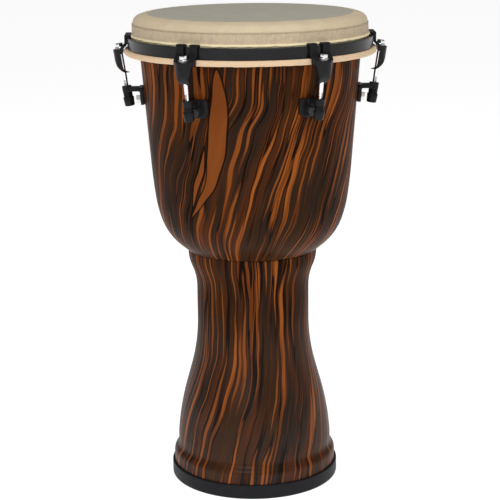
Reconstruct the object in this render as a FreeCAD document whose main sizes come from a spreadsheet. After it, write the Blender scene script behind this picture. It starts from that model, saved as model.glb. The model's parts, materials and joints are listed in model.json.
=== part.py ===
import FreeCAD, Part
import math
import os
from types import SimpleNamespace

import Sketcher
from FreeCAD import Placement, Rotation, Vector

# A top-tuned goblet drum (djembe), in millimetres, +Z up. The origin is on the drum's axis, at the
# floor. Lug 1 is on +X and the others follow it anticlockwise, seen from above.
#
# Every driving size is a cell of the sheet "sizes". The sketches and features of each piece are
# bound to those cells, so what fits into another piece takes its size from the same cells.

SIZES = [
    # overall
    ("drum_height", 655.0, "floor to the top of the playing surface"),
    ("lug_count", 6, "tuning stations, evenly spaced"),
    # drum head
    ("skin_thickness", 1.0, "thickness of the drum skin"),
    ("skin_gap", 0.15, "gap between the skin and what it wraps"),
    ("crest_inset", 21.0, "from the outside of the tucked flap in to the flat playing surface"),
    ("roll_radius", 34.6, "section radius of the skin where it leaves the flat"),
    ("roll_angle", 23.0, "turn of that gentle roll, in degrees"),
    ("corner_roll", 9.9, "section radius of the skin at the corner of the rim"),
    ("corner_angle", 85.0, "slope at which the corner ends, in degrees from level"),
    ("flap_play", 3.4, "gap between the hoop and the tucked flap"),
    ("collar_drop", 15.0, "from the playing surface down to where the skin hangs straight"),
    ("flap_drop", 14.0, "from the playing surface down to the cut edge of the tucked flap"),
    ("fold_reach", 4.6, "how far the fold round the flesh hoop stands out past the hoop"),
    ("fold_height", 7.4, "height of the skin round the flesh hoop"),
    ("fold_round", 2.4, "corner radius of that fold"),
    # tension hoop
    ("hoop_drop", 30.4, "from the playing surface down to the hoop's top edge"),
    ("hoop_height", 15.5, "height of the flat steel hoop"),
    ("hoop_radius", 166.0, "outside radius of the hoop"),
    ("hoop_thickness", 3.0, "thickness of the hoop"),
    ("hoop_seat_gap", 0.1, "gap between the hoop and the folded skin"),
    ("hoop_round", 0.9, "rounding of the hoop's edges"),
    # bowl
    ("shell_wall", 6.0, "thickness of the moulded shell"),
    ("rim_thickness", 22.6, "thickness of the bearing rim"),
    ("rim_clearance", 0.85, "gap between the rim's side and the skin"),
    ("rim_height", 35.0, "height of the thick bearing rim"),
    ("rim_step", 4.0, "height of the slope under the rim"),
    ("rim_overhang", 6.0, "how far the rim stands out past the bowl under it"),
    ("flank_radius", 137.6, "outside radius where the straight flank starts"),
    ("flank_height", 450.0, "height where the straight flank starts"),
    ("flank_roll", 756.0, "section radius under the straight flank"),
    ("belly_top_radius", 133.0, "outside radius at the top of the belly's curve"),
    ("belly_top_height", 407.5, "height of the top of the belly's curve"),
    ("belly_top_angle", 7.5, "slope there, in degrees from upright"),
    ("belly_roll", 180.0, "section radius of the belly's upper curve"),
    ("belly_radius", 125.7, "outside radius at the turn of the belly"),
    ("belly_height", 375.4, "height of the turn of the belly"),
    ("belly_angle", 18.0, "slope there, in degrees from upright"),
    ("underside_roll", 78.0, "section radius of the belly's lower curve"),
    ("cone_radius", 99.5, "outside radius where the belly's lower curve starts"),
    ("cone_height", 338.0, "height where the belly's lower curve starts"),
    ("cone_angle", 51.0, "slope of the bowl's foot, in degrees from upright"),
    ("bowl_foot_radius", 90.9, "outside radius of the bowl's foot"),
    # joint of bowl and stem
    ("joint_height", 331.0, "height of the joint between bowl and stem"),
    ("spigot_radius", 80.0, "outside radius of the bowl's spigot"),
    ("spigot_length", 18.0, "length of the spigot in the stem"),
    ("spigot_wall", 6.0, "thickness of the spigot"),
    ("throat_rise", 4.0, "from the joint up to the bowl's floor inside"),
    ("bond_gap", 0.2, "gap for adhesive round and under the spigot"),
    # stem
    ("stem_top_radius", 89.4, "outside radius of the stem's top"),
    ("stem_top_round", 2.0, "rounding of the stem's upper edge"),
    ("stem_top_roll", 54.0, "section radius of the stem under its upper edge"),
    ("neck_radius", 84.7, "outside radius where the neck turns from round to hollow"),
    ("neck_height", 306.0, "height of that turn"),
    ("neck_roll", 75.0, "section radius of the hollow under that turn"),
    ("waist_radius", 78.2, "smallest outside radius of the stem"),
    ("waist_top", 275.0, "upper end of the waist"),
    ("waist_foot", 230.0, "lower end of the waist"),
    ("flare_roll", 259.0, "section radius of the hollow above the flare"),
    ("flare_radius", 88.5, "outside radius where the flare runs straight"),
    ("flare_height", 157.7, "height of that point"),
    ("flare_angle", 16.2, "slope of the flare, in degrees from upright"),
    ("skirt_radius", 94.6, "outside radius where the skirt starts to round off"),
    ("skirt_height", 136.0, "height of that point"),
    ("skirt_roll", 363.0, "section radius of the skirt"),
    ("skirt_foot_radius", 108.1, "outside radius of the skirt's foot"),
    ("skirt_foot_height", 60.0, "height of the skirt's foot"),
    ("base_radius", 114.6, "outside radius of the band at the base"),
    ("base_height", 33.0, "height where the base band starts to turn in"),
    ("base_step", 8.0, "height of each half of the base band's S-shaped step"),
    ("base_step_roll", 12.17, "section radius of both halves of that step"),
    # rubber foot
    ("foot_height", 20.0, "height of the rubber foot outside"),
    ("foot_inner_height", 14.0, "height of the rubber foot inside"),
    ("foot_wall", 2.9, "thickness of the rubber foot's walls"),
    ("foot_web", 4.0, "thickness of rubber under the stem"),
    ("foot_round", 2.4, "rounding of the rubber foot's lower edges"),
    ("foot_gap", 0.15, "gap between the rubber and the stem"),
    # tension rod and its washer
    ("rod_radius", 3.0, "radius of the rod"),
    ("rod_lean", 8.5, "angle between the rod and the drum's axis, in degrees"),
    ("seat_reach", 10.4, "from the outside of the hoop out to the rod's axis at the claw's seat"),
    ("seat_drop", 16.4, "from the hoop's top edge down to the claw's seat"),
    ("rod_length", 72.0, "length of the rod under its head"),
    ("rod_point", 0.8, "chamfer at the rod's end"),
    ("rod_flange_radius", 6.0, "radius of the flange under the rod's head"),
    ("rod_flange_height", 1.6, "height of that flange"),
    ("rod_hex", 9.4, "distance across the flats of the rod's head"),
    ("rod_head_height", 6.0, "height of the six-sided head"),
    ("washer_radius", 6.6, "radius of the washer under the rod's head"),
    ("washer_height", 1.2, "thickness of that washer"),
    ("rod_clearance", 0.25, "gap round the rod in the washer, claw and bracket"),
    ("thread_gap", 0.08, "running gap between the rod and its barrel nut"),
    # claw
    ("claw_width", 31.0, "width over both hooked fingers"),
    ("finger_gap", 8.0, "gap between the two fingers"),
    ("finger_thickness", 3.0, "thickness of the fingers outside the hoop"),
    ("finger_cap", 3.8, "thickness of the fingers above the hoop"),
    ("finger_lip", 1.7, "thickness of the fingers inside the hoop"),
    ("finger_trim", 0.8, "what is trimmed off the lips to make them follow the hoop"),
    ("finger_reach", 3.6, "how far the fingers reach down inside the hoop"),
    ("finger_play", 0.5, "play of the fingers beside the hoop"),
    ("finger_seat_gap", 0.1, "gap between the fingers and the hoop's top edge"),
    ("finger_round", 2.2, "rounding of the fingers over the hoop"),
    ("shin_drop", 11.6, "from the hoop's top edge down to where the fingers lean out"),
    ("fold_clearance", 1.0, "gap between the claw and the folded skin"),
    ("seat_clearance", 0.5, "gap round the washer in the claw's seat"),
    ("cap_height", 6.6, "thickness of the claw's cap"),
    ("guard_depth", 9.6, "from the rod's axis to the front of the guard"),
    ("guard_width", 29.0, "width of the guard at its top"),
    ("guard_front_roll", 15.5, "radius of the guard's rounded front, seen along the rod"),
    ("guard_bend_drop", 11.0, "from the seat down to where the guard starts to curl in"),
    ("guard_bend_width", 22.4, "width of the guard there"),
    ("guard_curl_roll", 26.0, "section radius of the curled front"),
    ("guard_foot_drop", 35.2, "from the seat down to the guard's lowest point"),
    ("guard_foot_width", 14.6, "width of the guard where its rounded end starts"),
    ("guard_foot_round", 7.4, "radius of the guard's rounded end, seen from the front"),
    ("guard_tip_reach", 7.7, "how far the curled tip reaches in past the rod's axis"),
    ("guard_tip_height", 2.4, "thickness of the curled tip"),
    ("guard_wall", 2.6, "thickness of the guard's wall"),
    ("guard_hollow_width", 11.0, "width of the hollow behind the guard"),
    # bracket
    ("bracket_drop", 98.5, "from the playing surface down to the bracket's upper edge"),
    ("bracket_height", 24.5, "height of the bracket's plate"),
    ("bracket_width", 36.0, "width of the bracket's plate"),
    ("bracket_plate", 4.6, "thickness of the bracket's plate"),
    ("bracket_round", 9.0, "radius of the plate's lower corners"),
    ("arm_thickness", 6.4, "thickness of the bracket's arm"),
    ("arm_width", 12.0, "width of the bracket's arm"),
    ("arm_round", 3.4, "radius in the corner of arm and plate"),
    ("boss_radius", 6.6, "radius of the round boss at the end of the arm"),
    ("boss_length", 9.0, "length of that boss along the rod"),
    ("barrel_radius", 7.4, "radius of the barrel nut"),
    ("barrel_taper", 0.7, "how much the barrel nut narrows towards its foot"),
    ("barrel_length", 18.6, "length of the barrel nut"),
    ("barrel_floor", 3.0, "thickness of the barrel nut's closed foot"),
    ("barrel_round", 0.8, "rounding of the barrel nut's edges"),
    ("gasket_thickness", 1.0, "thickness of the gasket under the bracket"),
    ("gasket_margin", 1.0, "how far the gasket stays inside the plate's outline"),
    ("stack_gap", 0.1, "gap between the stacked faces on the shell's curve"),
    # mounting bolt
    ("bolt_drop", 16.8, "from the bracket's upper edge down to its bolt"),
    ("bolt_radius", 3.0, "radius of the mounting bolt"),
    ("bolt_clearance", 0.3, "gap round the mounting bolt"),
    ("bolt_hex", 10.0, "distance across the flats of the bolt's head and its nut"),
    ("bolt_head_height", 5.2, "height of the bolt's head"),
    ("nut_height", 5.0, "height of the nut inside the shell"),
    ("bolt_end", 2.0, "how far the bolt stands out of its nut"),
    ("backing_thickness", 2.6, "thickness of the backing plate inside the shell"),
    ("backing_width", 26.0, "width of the backing plate"),
    ("backing_height", 20.0, "height of the backing plate"),
    ("backing_round", 3.0, "radius of the backing plate's corners"),
    # cutting tools
    ("cut_margin", 60.0, "how far a cutting outline runs past the piece"),
]

HEX_SIDES = 6


# ---------------------------------------------------------------- sizes and expressions


class Size:
    """A number together with the sheet expression that gives it."""

    def __init__(self, text, value):
        self.text = text
        self.value = value

    def __add__(self, other):
        return join(self, "+", other)

    def __radd__(self, other):
        return join(other, "+", self)

    def __sub__(self, other):
        return join(self, "-", other)

    def __rsub__(self, other):
        return join(other, "-", self)

    def __mul__(self, other):
        return join(self, "*", other)

    def __rmul__(self, other):
        return join(other, "*", self)

    def __truediv__(self, other):
        return join(self, "/", other)

    def __rtruediv__(self, other):
        return join(other, "/", self)

    def __neg__(self):
        return join(0, "-", self)


WORK = {
    "+": lambda a, b: a + b,
    "-": lambda a, b: a - b,
    "*": lambda a, b: a * b,
    "/": lambda a, b: a / b,
}


def as_size(number):
    return number if isinstance(number, Size) else Size(f"{number}", float(number))


def join(a, sign, b):
    a, b = as_size(a), as_size(b)
    return Size(f"({a.text} {sign} {b.text})", WORK[sign](a.value, b.value))


def sine(angle):
    return Size(f"sin({angle.text})", math.sin(math.radians(angle.value)))


def cosine(angle):
    return Size(f"cos({angle.text})", math.cos(math.radians(angle.value)))


def slope_angle(slope):
    return Size(f"(atan({slope.text}) / 1 deg)", math.degrees(math.atan(slope.value)))


doc = FreeCAD.newDocument("djembe")
sheet = doc.addObject("Spreadsheet::Sheet", "sizes")
for row, (alias, number, note) in enumerate(SIZES, start=1):
    sheet.set(f"A{row}", note)
    sheet.set(f"B{row}", str(number))
    sheet.setAlias(f"B{row}", alias)
doc.recompute()
S = SimpleNamespace(**{alias: Size(f"sizes.{alias}", float(number)) for alias, number, _ in SIZES})
LUGS = range(1, int(S.lug_count.value) + 1)


# ---------------------------------------------------------------- sketches and features

# A leaned sketch turns about the drum's own Y axis. This is that axis, in each plane's coordinates.
LEAN_AXES = {"XY_Plane": Vector(0, 1, 0), "YZ_Plane": Vector(1, 0, 0)}


def new_body(label):
    body = doc.addObject("PartDesign::Body", label)
    body.Label = label
    return body


def origin_feature(body, role):
    return next(f for f in body.Origin.OriginFeatures if f.Role == role)


def new_sketch(body, plane="XZ_Plane", at=(), lean=None):
    """A sketch on one of the body's planes. at gives its place in that plane's own x, y and z."""
    sketch = body.newObject("Sketcher::SketchObject", "Sketch")
    sketch.AttachmentSupport = [(origin_feature(body, plane), "")]
    sketch.MapMode = "FlatFace"
    if lean is not None:
        sketch.AttachmentOffset = Placement(Vector(), Rotation(LEAN_AXES[plane], lean.value))
        sketch.setExpression("AttachmentOffset.Rotation.Angle", lean.text)
    for axis, value in zip("xyz", at):
        sketch.setExpression(f"AttachmentOffset.Base.{axis}", as_size(value).text)
    return sketch


def pin(sketch, geo, end, x, y):
    """Holds one end of an edge, or a circle's centre, at x, y."""
    for kind, axis, value in (("DistanceX", -2, as_size(x)), ("DistanceY", -1, as_size(y))):
        if abs(value.value) < 1e-9:
            sketch.addConstraint(Sketcher.Constraint("PointOnObject", geo, end, axis))
            continue
        if value.value > 0:
            constraint = Sketcher.Constraint(kind, -1, 1, geo, end, value.value)
        else:
            value = -value
            constraint = Sketcher.Constraint(kind, geo, end, -1, 1, value.value)
        index = sketch.addConstraint(constraint)
        sketch.setExpression(f"Constraints[{index}]", value.text)


def set_radius(sketch, geo, radius):
    index = sketch.addConstraint(Sketcher.Constraint("Radius", geo, radius.value))
    sketch.setExpression(f"Constraints[{index}]", radius.text)


def arc_centre(a, b, radius, side):
    """Centre of the arc from a to b. side is 1 if it turns left and -1 if it turns right."""
    chord = b - a
    height = math.sqrt(max(radius**2 - (chord.Length / 2) ** 2, 0.0))
    left = Vector(-chord.y, chord.x, 0).normalize()
    return (a + b) * 0.5 + left * (side * height)


class Outline:
    """A closed outline of straight and round edges, given corner by corner."""

    def __init__(self, x, y):
        self.corners = [(as_size(x), as_size(y))]
        self.edges = []

    def line(self, *points):
        for x, y in points:
            self.edges.append(None)
            self.corners.append((as_size(x), as_size(y)))
        return self

    def left(self, x, y, radius):
        return self.bend(x, y, radius, 1)

    def right(self, x, y, radius):
        return self.bend(x, y, radius, -1)

    def bend(self, x, y, radius, side):
        self.edges.append((as_size(radius), side))
        self.corners.append((as_size(x), as_size(y)))
        return self

    def draw(self, sketch):
        """Draws the outline and closes it with a straight edge, or at its first corner."""
        corners = list(self.corners)
        edges = list(self.edges)
        if math.dist(*[(x.value, y.value) for x, y in (corners[0], corners[-1])]) < 1e-6:
            corners.pop()
        else:
            edges.append(None)
        points = [Vector(x.value, y.value, 0) for x, y in corners]
        ends = []
        for index, edge in enumerate(edges):
            a, b = points[index], points[(index + 1) % len(points)]
            if edge is None:
                ends.append((sketch.addGeometry(Part.LineSegment(a, b)), 1, 2))
                continue
            radius, side = edge
            centre = arc_centre(a, b, radius.value, side)
            first, last = (a, b) if side > 0 else (b, a)
            angles = [math.atan2(p.y - centre.y, p.x - centre.x) for p in (first, last)]
            if angles[1] < angles[0]:
                angles[1] += 2 * math.pi
            circle = Part.Circle(centre, Vector(0, 0, 1), radius.value)
            geo = sketch.addGeometry(Part.ArcOfCircle(circle, *angles))
            ends.append((geo, 1, 2) if side > 0 else (geo, 2, 1))
        for index, (geo, start, _) in enumerate(ends):
            before, _, end = ends[index - 1]
            sketch.addConstraint(Sketcher.Constraint("Coincident", before, end, geo, start))
            pin(sketch, geo, start, *corners[index])
        for (geo, _, _), edge in zip(ends, edges):
            if edge is not None:
                set_radius(sketch, geo, edge[0])
        return sketch


def draw_circle(sketch, radius):
    """A circle about the sketch's own origin."""
    geo = sketch.addGeometry(Part.Circle(Vector(), Vector(0, 0, 1), radius.value))
    sketch.addConstraint(Sketcher.Constraint("Coincident", geo, 3, -1, 1))
    set_radius(sketch, geo, radius)
    return sketch


def draw_hexagon(sketch, flats):
    """A hexagon about the sketch's own origin, by its distance across the flats."""
    reach = flats * (1 / math.sqrt(3))
    steps = [math.tau * index / HEX_SIDES for index in range(HEX_SIDES)]
    points = [(reach * round(math.cos(a), 9), reach * round(math.sin(a), 9)) for a in steps]
    return Outline(*points[0]).line(*points[1:]).draw(sketch)


def rounded_rectangle(half_width, top, foot, top_round, foot_round):
    """A rectangle about the Y axis, its corners rounded by the two radii, or square where None."""
    outline = Outline(-half_width if foot_round is None else foot_round - half_width, foot)
    if foot_round is None:
        outline.line((half_width, foot))
    else:
        outline.line((half_width - foot_round, foot))
        outline.left(half_width, foot + foot_round, foot_round)
    if top_round is None:
        outline.line((half_width, top), (-half_width, top))
    else:
        outline.line((half_width, top - top_round))
        outline.left(half_width - top_round, top, top_round)
        outline.line((top_round - half_width, top))
        outline.left(-half_width, top - top_round, top_round)
    if foot_round is not None:
        outline.line((-half_width, foot + foot_round))
        outline.left(foot_round - half_width, foot, foot_round)
    return outline


def add_feature(body, kind, sketch):
    feature = body.newObject(f"PartDesign::{kind}", kind)
    feature.Profile = sketch
    sketch.Visibility = False
    return feature


def turn(body, kind, sketch):
    """A Revolution or Groove of the sketch about the drum's axis."""
    feature = add_feature(body, kind, sketch)
    feature.ReferenceAxis = (origin_feature(body, "Z_Axis"), [""])
    feature.Angle = 360
    return feature


def pad(body, sketch, length, way="up"):
    """A Pad by length, up along the sketch's normal, down, or half to each side (both)."""
    feature = add_feature(body, "Pad", sketch)
    feature.setExpression("Length", as_size(length).text)
    feature.SideType = "Symmetric" if way == "both" else "One side"
    feature.Reversed = way == "down"
    return feature


def pocket(body, sketch, length=None, way="both"):
    """A Pocket by length, or through all, up along the sketch's normal, down or both ways."""
    feature = add_feature(body, "Pocket", sketch)
    feature.SideType = "Symmetric" if way == "both" else "One side"
    feature.Reversed = way == "up"
    if length is None:
        feature.Type = "ThroughAll"
    else:
        feature.setExpression("Length", as_size(length).text)
    return feature


def repeat_round(body):
    """Repeats the whole body at every lug."""
    doc.recompute()
    pattern = body.newObject("PartDesign::PolarPattern", "Pattern")
    pattern.TransformMode = "Whole shape"
    pattern.Axis = (origin_feature(body, "Z_Axis"), [""])
    pattern.Angle = 360
    pattern.setExpression("Occurrences", "sizes.lug_count")
    body.Tip = pattern


AT_LUG = "placement(vector(0; 0; 0); rotation(vector(0; 0; 1); {turns} * 360 / sizes.lug_count))"
ON_ROD = (
    "placement(vector({radius}; 0; {height}); rotation(vector(0; 1; 0); sizes.rod_lean))"
)


def place_at_lug(body, lug, on_rod=False):
    """Puts a body modelled at lug 1, or on an upright rod whose seat is its origin, at a lug."""
    text = AT_LUG.format(turns=lug - 1)
    if on_rod:
        text += " * " + ON_ROD.format(radius=seat_radius.text, height=seat_height.text)
    body.setExpression("Placement", text)


# ---------------------------------------------------------------- shared levels and lines

hoop_top = S.drum_height - S.hoop_drop
hoop_foot = hoop_top - S.hoop_height
hoop_inner = S.hoop_radius - S.hoop_thickness
fold_radius = S.hoop_radius + S.fold_reach
fold_top = hoop_foot - S.hoop_seat_gap
fold_foot = fold_top - S.fold_height
seat_radius = S.hoop_radius + S.seat_reach
seat_height = hoop_top - S.seat_drop

collar_radius = hoop_inner - S.flap_play
flap_inner = collar_radius - S.skin_thickness
web_outer = flap_inner - S.skin_gap
web_inner = web_outer - S.skin_thickness
skin_offset = S.skin_thickness + S.skin_gap

crest_radius = collar_radius - S.crest_inset
rim_outer = web_inner - S.rim_clearance
rim_inner = rim_outer - S.rim_thickness
bowl_top_radius = rim_outer - S.rim_overhang
rim_top = S.drum_height - skin_offset
rim_foot = rim_top - S.rim_height
bowl_top = rim_foot - S.rim_step
flank_slope = (bowl_top_radius - S.flank_radius) / (bowl_top - S.flank_height)
flank_angle = slope_angle(flank_slope)
flank_stretch = 1 / cosine(flank_angle)

bracket_top = S.drum_height - S.bracket_drop
bracket_foot = bracket_top - S.bracket_height
bolt_height = bracket_top - S.bolt_drop
arm_foot = bracket_top - S.arm_thickness
arm_middle = bracket_top - S.arm_thickness / 2
plate_inner = S.gasket_thickness + 2 * S.stack_gap
plate_outer = plate_inner + S.bracket_plate


def flank(height, out=0):
    """Radius at a height of a surface that runs parallel to the bowl's flank, out by out."""
    return S.flank_radius + (height - S.flank_height) * flank_slope + out * flank_stretch


def by_rod(out, up):
    """Radius and height of a point beside rod 1: out from its axis and up from the claw's seat."""
    lean_sine, lean_cosine = sine(S.rod_lean), cosine(S.rod_lean)
    radius = seat_radius + out * lean_cosine + up * lean_sine
    height = seat_height - out * lean_sine + up * lean_cosine
    return radius, height


def rod_axis_up(height):
    """How far up the rod's axis from the seat a height is."""
    return (height - seat_height) / cosine(S.rod_lean)


def inside(radius, height, angle, wall):
    """The point a wall inwards from an outside point, where the outside leans by angle."""
    return radius - wall * cosine(angle), height + wall * sine(angle)


def rim_profile(offset):
    """Corners of the head's rounded shoulder, offset inwards, with the radii of its two rolls."""
    roll = S.roll_radius - offset
    corner = S.corner_roll - offset
    first = (crest_radius + roll * sine(S.roll_angle),
             S.drum_height - offset - roll * (1 - cosine(S.roll_angle)))
    last = (first[0] + corner * (sine(S.corner_angle) - sine(S.roll_angle)),
            first[1] - corner * (cosine(S.roll_angle) - cosine(S.corner_angle)))
    return roll, first, corner, last


# ---------------------------------------------------------------- shells and foot


def make_bowl_shell():
    """The bowl: thick bearing rim, tapered flank, round belly, and a spigot for the stem."""
    body = new_body("bowl_shell")
    wall = S.shell_wall
    spigot_foot = S.joint_height - S.spigot_length
    throat = S.spigot_radius - S.spigot_wall
    inner_cone = inside(S.cone_radius, S.cone_height, S.cone_angle, wall)
    roll, first, corner, last = rim_profile(skin_offset)
    shape = Outline(S.spigot_radius, spigot_foot)
    shape.line((S.spigot_radius, S.joint_height), (S.bowl_foot_radius, S.joint_height))
    shape.line((S.cone_radius, S.cone_height))
    shape.left(S.belly_radius, S.belly_height, S.underside_roll)
    shape.left(S.belly_top_radius, S.belly_top_height, S.belly_roll)
    shape.left(S.flank_radius, S.flank_height, S.flank_roll)
    shape.line((bowl_top_radius, bowl_top), (rim_outer, rim_foot), (rim_outer, last[1]))
    shape.line(last)
    shape.left(*first, corner)
    shape.left(crest_radius, rim_top, roll)
    shape.line((rim_inner, rim_top), (rim_inner, rim_foot))
    shape.line((flank(bowl_top, -wall), bowl_top))
    shape.line(inside(S.flank_radius, S.flank_height, flank_angle, wall))
    shape.right(*inside(S.belly_top_radius, S.belly_top_height, S.belly_top_angle, wall),
                S.flank_roll - wall)
    shape.right(*inside(S.belly_radius, S.belly_height, S.belly_angle, wall), S.belly_roll - wall)
    shape.right(*inner_cone, S.underside_roll - wall)
    shape.line((throat, S.joint_height + S.throat_rise), (throat, spigot_foot))
    turn(body, "Revolution", shape.draw(new_sketch(body)))
    hole = new_sketch(body, "YZ_Plane", (0, bolt_height, flank(bolt_height)), flank_angle)
    draw_circle(hole, S.bolt_radius + S.bolt_clearance)
    cut = pocket(body, hole, S.cut_margin)
    holes = body.newObject("PartDesign::PolarPattern", "Holes")
    holes.Originals = [cut]
    holes.Axis = (origin_feature(body, "Z_Axis"), [""])
    holes.Angle = 360
    holes.setExpression("Occurrences", "sizes.lug_count")
    body.Tip = holes


def make_stem_shell():
    """The stem: a round-edged top that takes the spigot, a waist, a flare and a base band."""
    body = new_body("stem_shell")
    wall = S.shell_wall
    bore = S.spigot_radius + S.bond_gap
    seat = S.joint_height - S.spigot_length - S.bond_gap
    round_ = S.stem_top_round
    step_middle = (S.base_radius + S.skirt_foot_radius) / 2
    shape = Outline(bore, S.joint_height)
    shape.line((S.stem_top_radius - round_, S.joint_height))
    shape.right(S.stem_top_radius, S.joint_height - round_, round_)
    shape.right(S.neck_radius, S.neck_height, S.stem_top_roll)
    shape.left(S.waist_radius, S.waist_top, S.neck_roll)
    shape.line((S.waist_radius, S.waist_foot))
    shape.left(S.flare_radius, S.flare_height, S.flare_roll)
    shape.line((S.skirt_radius, S.skirt_height))
    shape.right(S.skirt_foot_radius, S.skirt_foot_height, S.skirt_roll)
    shape.line((S.skirt_foot_radius, S.base_height + 2 * S.base_step))
    shape.left(step_middle, S.base_height + S.base_step, S.base_step_roll)
    shape.right(S.base_radius, S.base_height, S.base_step_roll)
    shape.line((S.base_radius, S.foot_web))
    foot_bore = S.skirt_foot_radius - wall
    shape.line((foot_bore, S.foot_web), (foot_bore, S.skirt_foot_height))
    shape.left(*inside(S.skirt_radius, S.skirt_height, -S.flare_angle, wall), S.skirt_roll - wall)
    shape.line(inside(S.flare_radius, S.flare_height, -S.flare_angle, wall))
    shape.right(S.waist_radius - wall, S.waist_foot, S.flare_roll + wall)
    shape.line((S.waist_radius - wall, S.waist_top), (S.waist_radius - wall, seat))
    shape.line((bore, seat))
    turn(body, "Revolution", shape.draw(new_sketch(body)))


def make_foot_ring():
    """The rubber foot: a channel that holds the stem's base band."""
    body = new_body("foot_ring")
    groove_outer = S.base_radius + S.foot_gap
    groove_inner = S.skirt_foot_radius - S.shell_wall - S.foot_gap
    outer = groove_outer + S.foot_wall
    inner = groove_inner - S.foot_wall
    edge = S.foot_round
    lip = S.foot_wall / 2
    shape = Outline(inner + edge, 0)
    shape.line((outer - edge, 0)).left(outer, edge, edge)
    shape.line((outer, S.foot_height - lip)).left(outer - lip, S.foot_height, lip)
    shape.line((groove_outer, S.foot_height), (groove_outer, S.foot_web))
    shape.line((groove_inner, S.foot_web), (groove_inner, S.foot_inner_height))
    shape.line((inner + lip, S.foot_inner_height)).left(inner, S.foot_inner_height - lip, lip)
    shape.line((inner, edge)).left(inner + edge, 0, edge)
    turn(body, "Revolution", shape.draw(new_sketch(body)))


# ---------------------------------------------------------------- head and hoops


def make_head_skin():
    """The skin: over the rim, down inside the hoop, round the flesh hoop and up again as a flap."""
    body = new_body("head_skin")
    thick = S.skin_thickness
    hang = S.drum_height - S.collar_drop
    cut_edge = S.drum_height - S.flap_drop
    outer_round = S.fold_round
    inner_round = S.fold_round - thick
    cavity_outer = fold_radius - thick
    roll, first, corner, last = rim_profile(0)
    under_roll, under_first, under_corner, under_last = rim_profile(thick)
    shape = Outline(0, S.drum_height - thick)
    shape.line((crest_radius, S.drum_height - thick))
    shape.right(*under_first, under_roll)
    shape.right(*under_last, under_corner)
    shape.line((web_inner, hang), (web_inner, fold_foot + outer_round))
    shape.left(web_inner + outer_round, fold_foot, outer_round)
    shape.line((fold_radius - outer_round, fold_foot))
    shape.left(fold_radius, fold_foot + outer_round, outer_round)
    shape.line((fold_radius, fold_top - outer_round))
    shape.left(fold_radius - outer_round, fold_top, outer_round)
    shape.line((collar_radius, fold_top), (collar_radius, cut_edge))
    shape.line((flap_inner, cut_edge), (flap_inner, fold_top - thick))
    shape.line((cavity_outer - inner_round, fold_top - thick))
    shape.right(cavity_outer, fold_top - thick - inner_round, inner_round)
    shape.line((cavity_outer, fold_foot + thick + inner_round))
    shape.right(cavity_outer - inner_round, fold_foot + thick, inner_round)
    shape.line((web_outer + inner_round, fold_foot + thick))
    shape.right(web_outer, fold_foot + thick + inner_round, inner_round)
    shape.line((web_outer, hang), last)
    shape.left(*first, corner)
    shape.left(crest_radius, S.drum_height, roll)
    shape.line((0, S.drum_height))
    turn(body, "Revolution", shape.draw(new_sketch(body)))


def ring(label, inner, outer, foot, top, edge):
    """A ring with rounded edges."""
    body = new_body(label)
    shape = Outline(inner + edge, foot)
    shape.line((outer - edge, foot)).left(outer, foot + edge, edge)
    shape.line((outer, top - edge)).left(outer - edge, top, edge)
    shape.line((inner + edge, top)).left(inner, top - edge, edge)
    shape.line((inner, foot + edge)).left(inner + edge, foot, edge)
    turn(body, "Revolution", shape.draw(new_sketch(body)))


def make_hoops():
    """The steel tension hoop and, inside the skin's fold, the flesh hoop."""
    ring("tension_hoop", hoop_inner, S.hoop_radius, hoop_foot, hoop_top, S.hoop_round)
    ring("flesh_hoop", web_outer + S.skin_gap, fold_radius - skin_offset,
         fold_foot + skin_offset, fold_top - skin_offset, S.fold_round - S.skin_thickness)


# ---------------------------------------------------------------- tension rods and their nuts


def make_tension_rod(lug):
    """A plated rod with a flanged six-sided head, modelled upright with the claw's seat at zero."""
    body = new_body(f"tension_rod_{lug}")
    under_head = S.washer_height
    end = under_head - S.rod_length
    flange_top = under_head + S.rod_flange_height
    shape = Outline(0, end)
    shape.line((S.rod_radius - S.rod_point, end), (S.rod_radius, end + S.rod_point))
    shape.line((S.rod_radius, under_head), (S.rod_flange_radius, under_head))
    shape.line((S.rod_flange_radius, flange_top), (0, flange_top))
    turn(body, "Revolution", shape.draw(new_sketch(body)))
    head = draw_hexagon(new_sketch(body, "XY_Plane", (0, 0, flange_top)), S.rod_hex)
    pad(body, head, S.rod_head_height)
    place_at_lug(body, lug, on_rod=True)


def make_rod_washer(lug):
    """The washer between the rod's head and the claw's seat."""
    body = new_body(f"rod_washer_{lug}")
    sketch = draw_circle(new_sketch(body, "XY_Plane"), S.washer_radius)
    draw_circle(sketch, S.rod_radius + S.rod_clearance)
    pad(body, sketch, S.washer_height)
    place_at_lug(body, lug, on_rod=True)


def make_barrel_nut(lug):
    """The closed nut that hangs under the bracket's arm and takes the rod's thread."""
    body = new_body(f"barrel_nut_{lug}")
    top = rod_axis_up(arm_middle) - S.boss_length / 2 - S.stack_gap
    foot = top - S.barrel_length
    edge = S.barrel_round
    bore = S.rod_radius + S.thread_gap
    foot_radius = S.barrel_radius - S.barrel_taper
    shape = Outline(0, foot)
    shape.line((foot_radius - edge, foot)).left(foot_radius, foot + edge, edge)
    shape.line((S.barrel_radius, top - edge)).left(S.barrel_radius - edge, top, edge)
    shape.line((bore, top), (bore, foot + S.barrel_floor), (0, foot + S.barrel_floor))
    turn(body, "Revolution", shape.draw(new_sketch(body)))
    place_at_lug(body, lug, on_rod=True)


# ---------------------------------------------------------------- claws


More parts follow.
